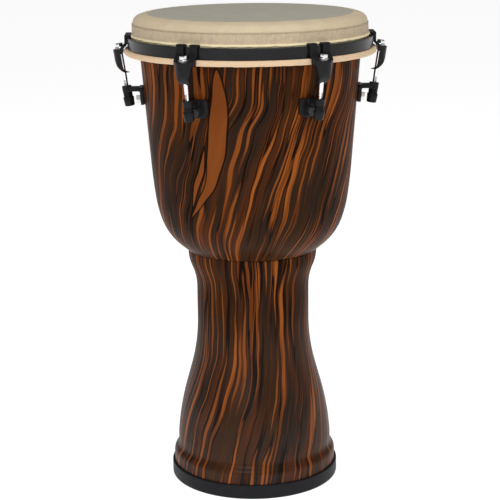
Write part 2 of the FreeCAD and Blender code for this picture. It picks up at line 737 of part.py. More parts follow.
def guard_side():
    """The guard from the side: a cap, a front that curls in, and an inward-pointing tip."""
    bend, foot = -S.guard_bend_drop, -S.guard_foot_drop
    tip_top = foot + S.guard_tip_height
    cap_back = fold_radius + S.fold_clearance
    shape = Outline(cap_back, by_rod(0, -S.cap_height)[1])
    shape.line(by_rod(0, -S.cap_height), by_rod(0, foot + S.guard_foot_round + S.guard_tip_height))
    shape.right(*by_rod(-S.guard_foot_round, tip_top), S.guard_foot_round)
    shape.line(by_rod(-S.guard_tip_reach, tip_top), by_rod(-S.guard_tip_reach, foot))
    shape.line(by_rod(-S.guard_tip_reach / 2, foot))
    shape.left(*by_rod(S.guard_depth, bend), S.guard_curl_roll)
    shape.line(by_rod(S.guard_depth, 0), by_rod(0, 0), (cap_back, by_rod(0, 0)[1]))
    return shape


def guard_front():
    """Everything outside the guard's front view: a frame round a tapered, round-ended tongue."""
    reach, foot = S.cut_margin, -S.guard_foot_drop
    top, bend = S.guard_width / 2, S.guard_bend_width / 2
    end, round_ = S.guard_foot_width / 2, S.guard_foot_round
    shape = Outline(end, foot + round_)
    shape.line((bend, -S.guard_bend_drop), (top, 0), (top, reach), (reach, reach))
    shape.line((reach, -reach), (-reach, -reach), (-reach, reach), (-top, reach), (-top, 0))
    shape.line((-bend, -S.guard_bend_drop), (-end, foot + round_))
    shape.left(end, foot + round_, round_)
    return shape


def guard_plan():
    """Everything in front of the guard's rounded front, seen along the rod."""
    reach = S.cut_margin
    back = S.guard_depth - S.guard_front_roll
    shape = Outline(back, -S.guard_front_roll)
    shape.line((back, -reach), (reach, -reach), (reach, reach), (back, reach))
    shape.line((back, S.guard_front_roll))
    shape.right(S.guard_depth, 0, S.guard_front_roll)
    shape.right(back, -S.guard_front_roll, S.guard_front_roll)
    return shape


def guard_hollow():
    """The hollow behind the guard's wall, from the side."""
    wall = S.guard_wall
    curl = S.guard_curl_roll - wall
    floor = S.guard_tip_height + wall - S.guard_foot_drop
    shape = Outline(*by_rod(-S.cap_height, -S.cap_height))
    shape.line(by_rod(-S.cap_height, floor), by_rod(0, floor))
    shape.left(*by_rod(S.guard_depth - wall, -S.guard_bend_drop), curl)
    shape.line(by_rod(S.guard_depth - wall, -S.cap_height))
    return shape


def fingers():
    """The two hooked fingers from the side, over the hoop and down to the cap, not yet slotted."""
    lip = hoop_inner - S.finger_play - S.finger_lip - S.finger_trim
    outside = S.hoop_radius + S.finger_play
    shin = outside + S.finger_thickness
    top = hoop_top + S.finger_seat_gap + S.finger_cap
    knee = hoop_top - S.shin_drop
    heel = fold_radius + S.fold_clearance
    heel_height = fold_top + S.fold_clearance
    round_ = S.finger_round
    shape = Outline(lip, hoop_top - S.finger_reach)
    shape.line((outside, hoop_top - S.finger_reach), (outside, knee), (heel, heel_height),
               (heel, by_rod(0, -S.cap_height)[1]))
    shape.line(by_rod(0, -S.cap_height), by_rod(0, 0), (shin, knee + S.finger_thickness))
    shape.line((shin, top - round_)).left(shin - round_, top, round_)
    shape.line((lip + round_, top)).left(lip, top - round_, round_)
    return shape


def hoop_slot():
    """The slot that the hoop's edge goes into, which follows the hoop round."""
    under = hoop_top + S.finger_seat_gap
    foot = hoop_top - S.shin_drop
    inner, outer = hoop_inner - S.finger_play, S.hoop_radius + S.finger_play
    return Outline(inner, foot).line((outer, foot), (outer, under), (inner, under))


def lip_trim():
    """What is cut from the fingers' inner side, so that their lips follow the hoop round."""
    lip = hoop_inner - S.finger_play - S.finger_lip
    top = hoop_top + S.finger_seat_gap + S.finger_cap
    foot = hoop_top - S.shin_drop
    back = lip - S.guard_tip_reach
    return Outline(back, foot).line((lip, foot), (lip, top), (back, top))


def make_claw(lug):
    """A cast claw: two hooked fingers, a cap for the rod's head and a hollow, curled guard."""
    body = new_body(f"claw_{lug}")
    seat = (seat_radius, 0, seat_height)
    seat_front = (0, seat_height, seat_radius)
    pad(body, guard_side().draw(new_sketch(body)), S.guard_width, "both")
    pocket(body, guard_front().draw(new_sketch(body, "YZ_Plane", seat_front, S.rod_lean)))
    pocket(body, guard_plan().draw(new_sketch(body, "XY_Plane", seat, S.rod_lean)))
    pocket(body, guard_hollow().draw(new_sketch(body)), S.guard_hollow_width)
    pad(body, fingers().draw(new_sketch(body)), S.claw_width, "both")
    turn(body, "Groove", hoop_slot().draw(new_sketch(body)))
    turn(body, "Groove", lip_trim().draw(new_sketch(body)))
    slot = rounded_rectangle(
        S.finger_gap / 2, hoop_top + S.cut_margin, hoop_top - S.shin_drop, None, None)
    pocket(body, slot.draw(new_sketch(body, "YZ_Plane")))
    hole = draw_circle(new_sketch(body, "XY_Plane", seat, S.rod_lean), S.rod_radius + S.rod_clearance)
    pocket(body, hole, 2 * S.cut_margin)
    recess = new_sketch(body, "XY_Plane", seat, S.rod_lean)
    draw_circle(recess, S.washer_radius + S.seat_clearance)
    pocket(body, recess, S.cut_margin, "up")
    place_at_lug(body, lug)


# ---------------------------------------------------------------- brackets and their fasteners


def parallel_to_flank(body, out, side):
    """Cuts away all that lies inside (side -1) or outside (side 1) a surface along the flank."""
    reach = side * S.cut_margin
    top, foot = bracket_top + S.bracket_height, bracket_foot - S.bracket_height
    shape = Outline(flank(foot, out), foot)
    shape.line((flank(foot, out) + reach, foot), (flank(top, out) + reach, top))
    shape.line((flank(top, out), top))
    return turn(body, "Groove", shape.draw(new_sketch(body)))


def bolt_hole(body):
    """The hole for the mounting bolt, square to the flank."""
    hole = new_sketch(body, "YZ_Plane", (0, bolt_height, flank(bolt_height)), flank_angle)
    draw_circle(hole, S.bolt_radius + S.bolt_clearance)
    pocket(body, hole, S.cut_margin)


def make_lug_bracket(lug):
    """A cast bracket: a plate on the shell's flank, an arm, and a boss that guides the rod."""
    body = new_body(f"lug_bracket_{lug}")
    top, foot, edge = bracket_top, bracket_foot, S.arm_round
    plate = rounded_rectangle(S.bracket_width / 2, top, foot, edge, S.bracket_round)
    inner = flank(foot) - S.bracket_plate
    sketch = plate.draw(new_sketch(body, "YZ_Plane", (0, 0, inner)))
    pad(body, sketch, flank(top, plate_outer) - inner)
    parallel_to_flank(body, plate_inner, -1)
    parallel_to_flank(body, plate_outer, 1)
    boss_axis = by_rod(0, rod_axis_up(arm_middle))[0]
    boss_centre = (boss_axis, 0, arm_middle)
    in_plate = flank(arm_foot, plate_outer) - S.bracket_plate / 4
    arm = Outline(in_plate - S.bracket_plate / 4, top)
    arm.line((in_plate - S.bracket_plate / 4, arm_foot - edge), (in_plate, arm_foot - edge))
    arm.right(in_plate + edge, arm_foot, edge)
    arm.line((boss_axis, arm_foot), (boss_axis, top))
    pad(body, arm.draw(new_sketch(body)), S.arm_width, "both")
    boss = new_sketch(body, "XY_Plane", boss_centre, S.rod_lean)
    pad(body, draw_circle(boss, S.boss_radius), S.boss_length, "both")
    hole = new_sketch(body, "XY_Plane", boss_centre, S.rod_lean)
    draw_circle(hole, S.rod_radius + S.rod_clearance)
    pocket(body, hole, S.cut_margin)
    bolt_hole(body)
    place_at_lug(body, lug)


def make_bracket_gaskets():
    """The thin gaskets between the brackets and the shell."""
    body = new_body("bracket_gaskets")
    margin = S.gasket_margin
    top, foot = bracket_top - margin, bracket_foot + margin
    half_width = S.bracket_width / 2 - margin
    shape = rounded_rectangle(half_width, top, foot, S.arm_round, S.bracket_round - margin)
    inner = flank(foot) - S.bracket_plate
    sketch = shape.draw(new_sketch(body, "YZ_Plane", (0, 0, inner)))
    pad(body, sketch, flank(top, plate_outer) - inner)
    parallel_to_flank(body, S.stack_gap, -1)
    parallel_to_flank(body, S.stack_gap + S.gasket_thickness, 1)
    bolt_hole(body)
    repeat_round(body)


def square_to_flank(body, out):
    """A sketch across a mounting bolt's axis, out from the shell's outside by out."""
    radius = flank(bolt_height) + out * cosine(flank_angle)
    height = bolt_height - out * sine(flank_angle)
    return new_sketch(body, "YZ_Plane", (0, height, radius), flank_angle)


def make_backing_plates():
    """The plates inside the shell: a flat back for the nut and a face that follows the shell."""
    body = new_body("backing_plates")
    half = S.backing_height / 2
    shape = rounded_rectangle(S.backing_width / 2, half, -half, S.backing_round, S.backing_round)
    back = -(S.shell_wall + S.stack_gap + S.backing_thickness)
    pad(body, shape.draw(square_to_flank(body, back)), S.shell_wall)
    parallel_to_flank(body, -S.shell_wall - S.stack_gap, 1)
    bolt_hole(body)
    repeat_round(body)


def make_mount_bolts():
    """The bolts that hold the brackets."""
    body = new_body("mount_bolts")
    under_head = plate_outer + S.stack_gap
    nut_inner = S.shell_wall + 2 * S.stack_gap + S.backing_thickness + S.nut_height
    pad(body, draw_hexagon(square_to_flank(body, under_head), S.bolt_hex), S.bolt_head_height)
    shank = draw_circle(square_to_flank(body, under_head), S.bolt_radius)
    pad(body, shank, under_head + nut_inner + S.bolt_end, "down")
    repeat_round(body)


def make_mount_nuts():
    """The nuts inside the shell."""
    body = new_body("mount_nuts")
    face = -(S.shell_wall + 2 * S.stack_gap + S.backing_thickness)
    sketch = draw_hexagon(square_to_flank(body, face), S.bolt_hex)
    draw_circle(sketch, S.bolt_radius + S.thread_gap)
    pad(body, sketch, S.nut_height, "down")
    repeat_round(body)


# ---------------------------------------------------------------- build, check and write


def check_document():
    for item in doc.Objects:
        if "Invalid" in item.State or "Error" in item.State:
            raise RuntimeError(f"{item.Label} failed: {item.State} {item.getStatusString()}")


def write_parts():
    os.makedirs("parts", exist_ok=True)
    bodies = [item for item in doc.Objects if item.TypeId == "PartDesign::Body"]
    for body in bodies:
        if body.Shape.isNull() or not body.Shape.isValid():
            raise RuntimeError(f"{body.Label} has no valid shape")
    for body in bodies:
        body.Shape.exportStep(f"parts/{body.Label}.step")
        print(f"{body.Label}: {len(body.Shape.Solids)} solid, {body.Shape.Volume / 1000:.2f} cm3")


make_bowl_shell()
make_stem_shell()
make_foot_ring()
make_head_skin()
make_hoops()
for lug in LUGS:
    make_claw(lug)
    make_tension_rod(lug)
    make_rod_washer(lug)
    make_lug_bracket(lug)
    make_barrel_nut(lug)
make_bracket_gaskets()
make_backing_plates()
make_mount_bolts()
make_mount_nuts()
doc.recompute()
check_document()
write_parts()
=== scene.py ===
"""A rod-tuned djembe: finishes, cast parts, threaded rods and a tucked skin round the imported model."""

import json
import math

import bpy
from mathutils import Matrix, Vector


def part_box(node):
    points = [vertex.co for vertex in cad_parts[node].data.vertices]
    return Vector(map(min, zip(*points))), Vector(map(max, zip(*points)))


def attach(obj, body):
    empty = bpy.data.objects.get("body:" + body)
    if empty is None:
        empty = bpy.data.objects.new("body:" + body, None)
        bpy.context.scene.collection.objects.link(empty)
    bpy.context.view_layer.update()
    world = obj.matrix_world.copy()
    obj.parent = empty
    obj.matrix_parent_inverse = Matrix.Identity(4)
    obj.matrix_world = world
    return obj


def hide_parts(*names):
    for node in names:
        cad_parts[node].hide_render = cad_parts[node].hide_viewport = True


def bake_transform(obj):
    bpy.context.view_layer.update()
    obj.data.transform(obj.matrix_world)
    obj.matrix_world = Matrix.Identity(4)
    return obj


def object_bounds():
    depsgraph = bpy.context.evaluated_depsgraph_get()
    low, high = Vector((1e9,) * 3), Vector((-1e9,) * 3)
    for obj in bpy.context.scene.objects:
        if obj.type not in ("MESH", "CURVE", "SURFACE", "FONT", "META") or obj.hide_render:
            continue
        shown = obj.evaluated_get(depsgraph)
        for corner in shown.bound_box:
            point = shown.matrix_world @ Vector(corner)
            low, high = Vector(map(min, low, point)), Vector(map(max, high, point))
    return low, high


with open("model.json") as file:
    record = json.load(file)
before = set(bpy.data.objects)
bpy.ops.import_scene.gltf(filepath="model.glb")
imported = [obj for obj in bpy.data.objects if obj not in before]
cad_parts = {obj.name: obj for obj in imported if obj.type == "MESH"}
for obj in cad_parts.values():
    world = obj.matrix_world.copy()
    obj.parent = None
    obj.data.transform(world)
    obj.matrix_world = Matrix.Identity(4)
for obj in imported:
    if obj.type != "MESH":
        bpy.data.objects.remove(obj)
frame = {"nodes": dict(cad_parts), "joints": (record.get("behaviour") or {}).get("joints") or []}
cad_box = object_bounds()
LUGS = [index for index in range(1, 61) if f"claw_{index}" in frame["nodes"]]
lug_joints = {j["name"]: j for j in frame["joints"]}


# ---------------------------------------------------------------- sizes read from the frame

DRUM_TOP = cad_box[1][2]
skin_low, skin_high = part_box("head_skin")
FLESH_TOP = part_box("flesh_hoop")[1].z
FOLD_RADIUS = skin_high.x
ROD_SEAT = Vector(lug_joints["rod_1_turn"]["pos_m"])
# Along the rod from the claw's seat: the washer's top, and the top of the barrel nut.
SEAT_LIFT = 0.0012
BARREL_TOP = -0.06011


# ---------------------------------------------------------------- shader maths


def socket_of(thing):
    return thing.socket if isinstance(thing, Value) else thing


class Value:
    """A number that changes over a surface. Arithmetic on it adds Math nodes to its finish."""

    def __init__(self, finish, socket):
        self.finish = finish
        self.socket = socket

    def work(self, operation, *others):
        settings = {"operation": operation}
        return self.finish.add("ShaderNodeMath", settings, (self, *others)).value(0)

    def __add__(self, other):
        return self.work("ADD", other)

    def __sub__(self, other):
        return self.work("SUBTRACT", other)

    def __mul__(self, other):
        return self.work("MULTIPLY", other)

    def __neg__(self):
        return self * -1

    def __abs__(self):
        return self.work("ABSOLUTE")

    def __pow__(self, other):
        return self.work("POWER", other)

    def step(self, start, end):
        """0 below start and 1 above end, with a smooth rise between, or a fall if end is lower."""
        flip = end < start
        limits = (end, start) if flip else (start, end)
        settings = {"interpolation_type": "SMOOTHSTEP"}
        node = self.finish.add("ShaderNodeMapRange", settings, {"Value": self})
        node.set({"From Min": limits[0], "From Max": limits[1]})
        node.set({"To Min": 1.0 if flip else 0.0, "To Max": 0.0 if flip else 1.0})
        return node.value("Result")


class Node:
    """A shader node whose sockets are set by name or by number."""

    def __init__(self, finish, node):
        self.finish = finish
        self.node = node

    def set(self, inputs):
        pairs = inputs.items() if isinstance(inputs, dict) else enumerate(inputs)
        for key, value in pairs:
            value = socket_of(value)
            if isinstance(value, bpy.types.NodeSocket):
                self.finish.tree.links.new(value, self.node.inputs[key])
            else:
                self.node.inputs[key].default_value = value
        return self

    def value(self, key):
        return Value(self.finish, self.node.outputs[key])

    def out(self, key=0):
        return self.node.outputs[key]


class Finish:
    """A material built from one Principled shader."""

    def __init__(self, name, **shader):
        self.material = bpy.data.materials.new(name)
        self.material.use_nodes = True
        self.tree = self.material.node_tree
        found = [n for n in self.tree.nodes if n.type == "BSDF_PRINCIPLED"]
        self.shader = Node(self, found[0])
        self.shader.set({key.replace("_", " "): value for key, value in shader.items()})

    def add(self, kind, settings=None, inputs=()):
        node = self.tree.nodes.new(kind)
        for key, value in (settings or {}).items():
            setattr(node, key, value)
        return Node(self, node).set(inputs)

    def maths(self, operation, *values):
        return self.add("ShaderNodeMath", {"operation": operation}, values).value(0)

    def place(self):
        """Object coordinates as three values, in metres."""
        coordinates = self.add("ShaderNodeTexCoord").out("Object")
        split = self.add("ShaderNodeSeparateXYZ", inputs={"Vector": coordinates})
        return split.value("X"), split.value("Y"), split.value("Z")

    def join(self, x, y, z):
        return self.add("ShaderNodeCombineXYZ", inputs=(x, y, z)).out()

    def speckle(self, where, scale, detail=2.0, roughness=0.5, distortion=0.0):
        """Noise from 0 to 1 at a place."""
        node = self.add("ShaderNodeTexNoise", {"noise_dimensions": "3D"}, {"Vector": where})
        node.set({"Scale": scale, "Detail": detail, "Roughness": roughness})
        node.set({"Distortion": distortion})
        return node.value("Fac")

    def blend(self, share, first, second):
        """A colour from first, where share is 0, to second, where it is 1."""
        node = self.add("ShaderNodeMix", {"data_type": "RGBA", "clamp_factor": True})
        share, first, second = socket_of(share), socket_of(first), socket_of(second)
        for index, value in ((0, share), (6, first), (7, second)):
            node.set({index: value if not isinstance(value, tuple) else (*value, 1.0)})
        return node.out(2)

    def curve(self, value, points):
        """A smooth line through points of (value, result)."""
        first, last = points[0][0], points[-1][0]
        lowest = min(result for _, result in points)
        size = max(result for _, result in points) - lowest
        node = self.add("ShaderNodeFloatCurve")
        line = node.node.mapping.curves[0]
        while len(line.points) < len(points):
            line.points.new(0.5, 0.5)
        spots = [((at - first) / (last - first), (result - lowest) / size)
                 for at, result in points]
        for point, spot in zip(line.points, spots):
            point.location = spot
        node.node.mapping.update()
        node.set({"Value": (value - first) * (1 / (last - first))})
        return node.value("Value") * size + lowest

    def bump(self, height, distance, strength=1.0):
        node = self.add("ShaderNodeBump", inputs={"Height": height})
        node.set({"Distance": distance, "Strength": strength})
        self.shader.set({"Normal": node.out()})

    def wear(self, **inputs):
        self.shader.set({key.replace("_", " "): value for key, value in inputs.items()})
        return self.material


def around(finish):
    """The angle round the drum from its front, in radians, the radius, and the height."""
    x, y, z = finish.place()
    angle = finish.maths("ARCTAN2", x, -y)
    radius = (x * x + y * y) ** 0.5
    return angle, radius, z


# ---------------------------------------------------------------- finishes

WOOD_BROWN = (0.036, 0.0145, 0.0050)
WOOD_GREY = (0.024, 0.0125, 0.0075)
WOOD_RED = (0.060, 0.0175, 0.0055)
WOOD_BLACK = (0.0045, 0.0020, 0.0010)
STREAK_EDGE = (0.118, 0.030, 0.0060)
STREAK_CORE = (0.290, 0.080, 0.0140)
FLAME_BROWN = (0.165, 0.043, 0.0085)
FLAME_TAN = (0.205, 0.058, 0.0120)

# How far the grain has turned, in radians, at heights in metres.
BOWL_TURN = ((0.33, 0.52), (0.42, 0.34), (0.51, 0.14), (0.59, 0.0), (0.66, 0.0))
STEM_TURN = ((0.0, 0.40), (0.08, 0.24), (0.18, 0.03), (0.23, 0.0), (0.35, 0.0))
# The broad flame on the front of the bowl, and the small one beside it: where their middle lies,
# in radians from the front, and half their width.
FLAME_MIDDLE = ((0.385, -0.75), (0.42, -0.54), (0.45, -0.41), (0.50, -0.34), (0.60, -0.32))
FLAME_WIDTH = ((0.385, -0.03), (0.42, 0.035), (0.45, 0.055), (0.50, 0.09), (0.56, 0.06),
               (0.60, -0.03))
SPARK_MIDDLE = ((0.405, -0.66), (0.44, -0.58), (0.465, -0.51), (0.50, -0.47))
SPARK_WIDTH = ((0.405, -0.01), (0.43, 0.02), (0.45, 0.03), (0.47, 0.02), (0.50, -0.02))


def flame(finish, angle, z, middle, width, wobble):
    """Inside a flame, and the dark line round it."""
    beside = abs(angle - finish.curve(z, middle) + wobble) - finish.curve(z, width)
    return beside.step(0.003, -0.004), beside.step(0.024, 0.010)


def shell_finish(name, turn, reach, seed):
    """Satin resin over a printed grain: long tapered streaks that turn round the shell."""
    finish = Finish(name, Roughness=0.42, Specular_IOR_Level=0.02, Coat_Roughness=0.34)
    angle, _, z = around(finish)
    plain = finish.join(angle.work("SINE") * reach, angle.work("COSINE") * reach, z)
    sway = finish.speckle(plain, 14.0, 1.0) - 0.5
    turned = angle + finish.curve(z, turn) + sway * 0.16
    side, front = turned.work("SINE") * reach, turned.work("COSINE") * reach

    def grain(across, along, detail, offset):
        stretched = finish.join(side * across + offset, front * across + seed, z * along)
        return finish.speckle(stretched, 1.0, detail, 0.5)

    streak = grain(125.0, 5.2, 0.0, 0.0)
    thin = grain(190.0, 6.0, 0.0, 17.0)
    fine = grain(420.0, 14.0, 1.0, 7.0)
    broad = grain(34.0, 5.0, 1.0, 13.0)
    tone = grain(60.0, 7.0, 1.0, 47.0)
    dark = grain(150.0, 7.0, 1.0, 21.0)
    colour = finish.blend(broad.step(0.40, 0.60), WOOD_GREY, WOOD_BROWN)
    colour = finish.blend(tone.step(0.48, 0.66), colour, WOOD_RED)
    colour = finish.blend(dark.step(0.56, 0.68) * 0.85, colour, WOOD_BLACK)
    colour = finish.blend(fine.step(0.58, 0.70) * 0.35, colour, STREAK_EDGE)
    colour = finish.blend(streak.step(0.545, 0.60) * 0.9, colour, WOOD_BLACK)
    colour = finish.blend(thin.step(0.60, 0.63) * 0.75, colour, STREAK_EDGE)
    colour = finish.blend(thin.step(0.64, 0.69) * 0.6, colour, STREAK_CORE)
    colour = finish.blend(streak.step(0.628, 0.645), colour, STREAK_EDGE)
    colour = finish.blend(streak.step(0.650, 0.71) * tone.step(0.34, 0.56), colour, STREAK_CORE)
    return finish, angle, z, colour, broad, sway


def satin(finish, colour, relief, shine):
    """The resin's skin: a soft coat that is slightly uneven, and thicker where shine is higher."""
    x, y, z = finish.place()
    smear = finish.speckle(finish.join(x, y, z), 34.0, 3.0)
    finish.bump(relief, 0.0002, 0.25)
    return finish.wear(Base_Color=colour, Roughness=smear * 0.16 + 0.36,
                       Coat_Weight=(smear * 0.6 + 0.7) * shine)


def bowl_finish():
    finish, angle, z, colour, broad, sway = shell_finish("bowl_grain", BOWL_TURN, 0.150, 0.0)
    grain = finish.blend(broad.step(0.35, 0.65), FLAME_BROWN, FLAME_TAN)
    for middle, width in ((FLAME_MIDDLE, FLAME_WIDTH), (SPARK_MIDDLE, SPARK_WIDTH)):
        inside, outline = flame(finish, angle, z, middle, width, sway * 0.05)
        colour = finish.blend(outline * 0.85, colour, WOOD_BLACK)
        colour = finish.blend(inside, colour, grain)
    return satin(finish, colour, broad, z.step(0.40, 0.345) * 0.10 + 0.008)


def stem_finish():
    finish, angle, z, colour, broad, sway = shell_finish("stem_grain", STEM_TURN, 0.105, 40.0)
    return satin(finish, colour, broad, z.step(0.26, 0.16) * 0.22 + 0.012)


def gloss_black():
    finish = Finish("gloss_black_steel", Specular_IOR_Level=0.26)
    x, y, z = finish.place()
    where = finish.join(x, y, z)
    orange_peel = finish.speckle(where, 900.0, 2.0)
    finish.bump(orange_peel, 0.00004, 0.4)
    smear = finish.speckle(where, 60.0, 3.0)
    colour = finish.blend(smear, (0.006, 0.006, 0.007), (0.012, 0.012, 0.014))
    return finish.wear(Base_Color=colour, Roughness=smear * 0.14 + 0.16)


def cast_black():
    finish = Finish("cast_black", Specular_IOR_Level=0.14)
    x, y, z = finish.place()
    where = finish.join(x, y, z)
    grit = finish.speckle(where, 1400.0, 3.0)
    finish.bump(grit, 0.00006, 0.6)
    smear = finish.speckle(where, 90.0, 3.0)
    colour = finish.blend(smear, (0.005, 0.005, 0.006), (0.012, 0.012, 0.013))
    return finish.wear(Base_Color=colour, Roughness=smear * 0.2 + 0.2)


def bright_plating(name, roughness, spread):
    finish = Finish(name, Metallic=1.0)
    x, y, z = finish.place()
    smear = finish.speckle(finish.join(x, y, z), 300.0, 3.0)
    colour = finish.blend(smear, (0.62, 0.63, 0.64), (0.80, 0.80, 0.79))
    return finish.wear(Base_Color=colour, Roughness=smear * spread + roughness)


def dull_steel():
    finish = Finish("dull_steel", Metallic=1.0, Roughness=0.4)
    x, y, z = finish.place()
    smear = finish.speckle(finish.join(x, y, z), 200.0, 3.0)
    colour = finish.blend(smear, (0.34, 0.34, 0.35), (0.5, 0.5, 0.5))
    return finish.wear(Base_Color=colour, Roughness=smear * 0.25 + 0.25)


def black_rubber():
    finish = Finish("black_rubber", Specular_IOR_Level=0.12)
    x, y, z = finish.place()
    where = finish.join(x, y, z)
    smear = finish.speckle(where, 50.0, 4.0)
    grit = finish.speckle(where, 1800.0, 2.0)
    finish.bump(grit, 0.00008, 0.7)
    colour = finish.blend(smear, (0.006, 0.006, 0.008), (0.016, 0.015, 0.018))
    return finish.wear(Base_Color=colour, Roughness=smear * 0.2 + 0.42)


DISC_GREY = (0.385, 0.358, 0.295)
DISC_WARM = (0.418, 0.383, 0.312)
SHOULDER_CREAM = (0.600, 0.490, 0.330)
WALL_TAN = (0.530, 0.420, 0.280)
WALL_GREY = (0.400, 0.335, 0.250)
# Painted highlight: a bright cream that stands for light catching the skin where it rolls out just above
# the hoop.
ROLL_HIGHLIGHT_CREAM = (0.800, 0.690, 0.440)
LIP_PEACH = (0.710, 0.500, 0.318)
# A dark brown used for flecks of fibre on the wall, and as a painted shadow under the flap's ragged
# edge.
FIBRE_AND_SHADOW_BROWN = (0.260, 0.190, 0.120)


def drum_skin():
    """A grey head with a bare cream shoulder, a creased wall and a peach-tan tucked lip, with a painted
    shadow line under the flap's edge and a painted highlight on the skin rolled above the hoop.
    """
    finish = Finish("drum_skin", Specular_IOR_Level=0.3)
    angle, radius, z = around(finish)
    x, y, _ = finish.place()
    where = finish.join(x, y, z)
    cloud = finish.speckle(where, 38.0, 4.0, 0.6)
    fibre = finish.speckle(finish.join(x, y, z * 2.2), 420.0, 4.0, 0.65)
    crease = finish.speckle(finish.join(x, y, z * 0.6), 160.0, 3.0, 0.6, 1.2)
    disc = radius.step(0.1393, 0.1383) * z.step(0.650, 0.6535)
    wall = z.step(0.6435, 0.6418)
    # The band above the hoop where a painted highlight brightens the rolled skin.
    roll_highlight = z.step(0.6292, 0.6278)
    lip = z.step(0.618, 0.612)
    grey = finish.blend(cloud.step(0.35, 0.65), DISC_GREY, DISC_WARM)
    cream = finish.blend(cloud.step(0.60, 0.36) * 0.5, SHOULDER_CREAM, WALL_TAN)
    rough = finish.blend(crease.step(0.42, 0.66) * 0.7, WALL_TAN, WALL_GREY)
    rough = finish.blend(fibre.step(0.60, 0.72) * 0.5, rough, FIBRE_AND_SHADOW_BROWN)
    peach = finish.blend(cloud.step(0.60, 0.35) * 0.4, LIP_PEACH, SHOULDER_CREAM)
    peach = finish.blend(fibre.step(0.56, 0.70) * 0.25, peach, WALL_GREY)
    # Painted shadow: a dark brown line under the ragged top edge of the flap.
    line = z.step(0.6428, 0.6422) * z.step(0.6402, 0.6412)
    colour = finish.blend(wall, cream, rough)
    colour = finish.blend(line * 0.45, colour, FIBRE_AND_SHADOW_BROWN)
    colour = finish.blend(roll_highlight, colour, ROLL_HIGHLIGHT_CREAM)
    colour = finish.blend(lip, colour, peach)
    colour = finish.blend(disc, colour, grey)
    finish.bump(fibre + crease * wall, 0.00035, 0.5)
    return finish.wear(Base_Color=colour, Roughness=fibre * 0.12 + 0.46 + wall * 0.15)


def paint(node, material):
    """Gives a CAD node one finish all over."""
    slots = frame["nodes"][node].data.materials
    slots.clear()
    slots.append(material)


SKIN = drum_skin()
CAST = cast_black()
GLOSS = gloss_black()
PLATING = bright_plating("bright_plating", 0.10, 0.06)
BOLT_PLATING = bright_plating("satin_plating", 0.26, 0.16)
STEEL = dull_steel()
RUBBER = black_rubber()
paint("bowl_shell", bowl_finish())
paint("stem_shell", stem_finish())
paint("foot_ring", RUBBER)
paint("head_skin", SKIN)
paint("tension_hoop", GLOSS)
paint("flesh_hoop", STEEL)
paint("bracket_gaskets", RUBBER)
paint("backing_plates", STEEL)
paint("mount_bolts", BOLT_PLATING)
paint("mount_nuts", STEEL)
for lug in LUGS:
    paint(f"claw_{lug}", CAST)
    paint(f"lug_bracket_{lug}", CAST)
    paint(f"barrel_nut_{lug}", CAST)
    paint(f"tension_rod_{lug}", PLATING)
    paint(f"rod_washer_{lug}", STEEL)


# ---------------------------------------------------------------- making pieces


def deselect():
    if bpy.context.mode != "OBJECT":
        bpy.ops.object.mode_set(mode="OBJECT")
    bpy.ops.object.select_all(action="DESELECT")


def name_piece(piece, name, material, body):
    """Names a finished piece, gives it its finish and puts it on its body."""
    piece.name = name
    piece.data.name = name
    piece.data.materials.clear()
    piece.data.materials.append(material)
    if body:
        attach(piece, body)


def turned_piece(rings, vertices=48):
    """A closed piece turned about Z. rings are (radius, height) down its outline, pole to pole."""
    deselect()
    (radius, height), rest = rings[0], rings[1:]
    bpy.ops.mesh.primitive_circle_add(
        vertices=vertices, radius=radius, fill_type="TRIFAN", location=(0, 0, height))
    piece = bpy.context.object
    bpy.ops.object.transform_apply(location=True, rotation=False, scale=False)
    bpy.ops.object.mode_set(mode="EDIT")
    bpy.ops.mesh.select_all(action="SELECT")
    bpy.ops.mesh.region_to_loop()
    for new_radius, new_height in rest:
        rise = {"value": (0, 0, new_height - height)}
        bpy.ops.mesh.extrude_edges_move(TRANSFORM_OT_translate=rise)
        grow = new_radius / radius
        bpy.ops.transform.resize(value=(grow, grow, 1), center_override=(0, 0, new_height))
        radius, height = new_radius, new_height
    bpy.ops.mesh.edge_face_add()
    bpy.ops.mesh.poke()
    bpy.ops.mesh.select_all(action="SELECT")
    bpy.ops.mesh.normals_make_consistent(inside=False)
    bpy.ops.object.mode_set(mode="OBJECT")
    bpy.ops.object.shade_smooth_by_angle(angle=math.radians(40))
    return piece


def arc(centre, radius, start, end, steps):
    """Points of (radius, height) on an arc. Angles are in degrees from straight up, outwards."""
    turns = [math.radians(start + (end - start) * i / steps) for i in range(1, steps + 1)]
    return [(centre[0] + radius * math.sin(t), centre[1] + radius * math.cos(t)) for t in turns]


def merged_copy(node):
    """A copy of a CAD node's mesh with its loose triangles joined."""
    deselect()
    copy = frame["nodes"][node].copy()
    copy.data = copy.data.copy()
    bpy.context.scene.collection.objects.link(copy)
    copy.parent = None
    copy.matrix_world = Matrix.Identity(4)
    copy.hide_render = False
    copy.hide_viewport = False
    copy.select_set(True)
    bpy.context.view_layer.objects.active = copy
    bpy.ops.object.mode_set(mode="EDIT")
    bpy.ops.mesh.select_all(action="SELECT")
    bpy.ops.mesh.remove_doubles(threshold=0.000002)
    bpy.ops.object.mode_set(mode="OBJECT")
    return copy


def apply(piece, name, kind, **settings):
    """Adds a modifier and applies it."""
    modifier = piece.modifiers.new(name, kind)
    for key, value in settings.items():
        setattr(modifier, key, value)
    bpy.context.view_layer.objects.active = piece
    bpy.ops.object.modifier_apply(modifier=name)


def cast_shape(node, voxel, passes, clearance):
    """A node's shape with the soft edges of a casting."""
    piece = merged_copy(node)
    apply(piece, "casting", "REMESH", mode="VOXEL", voxel_size=voxel, use_smooth_shade=True)
    apply(piece, "softened", "SMOOTH", factor=0.5, iterations=passes)
    apply(piece, "clearance", "DISPLACE", strength=-clearance, direction="NORMAL", mid_level=0)
    bpy.ops.object.shade_smooth()
    return piece


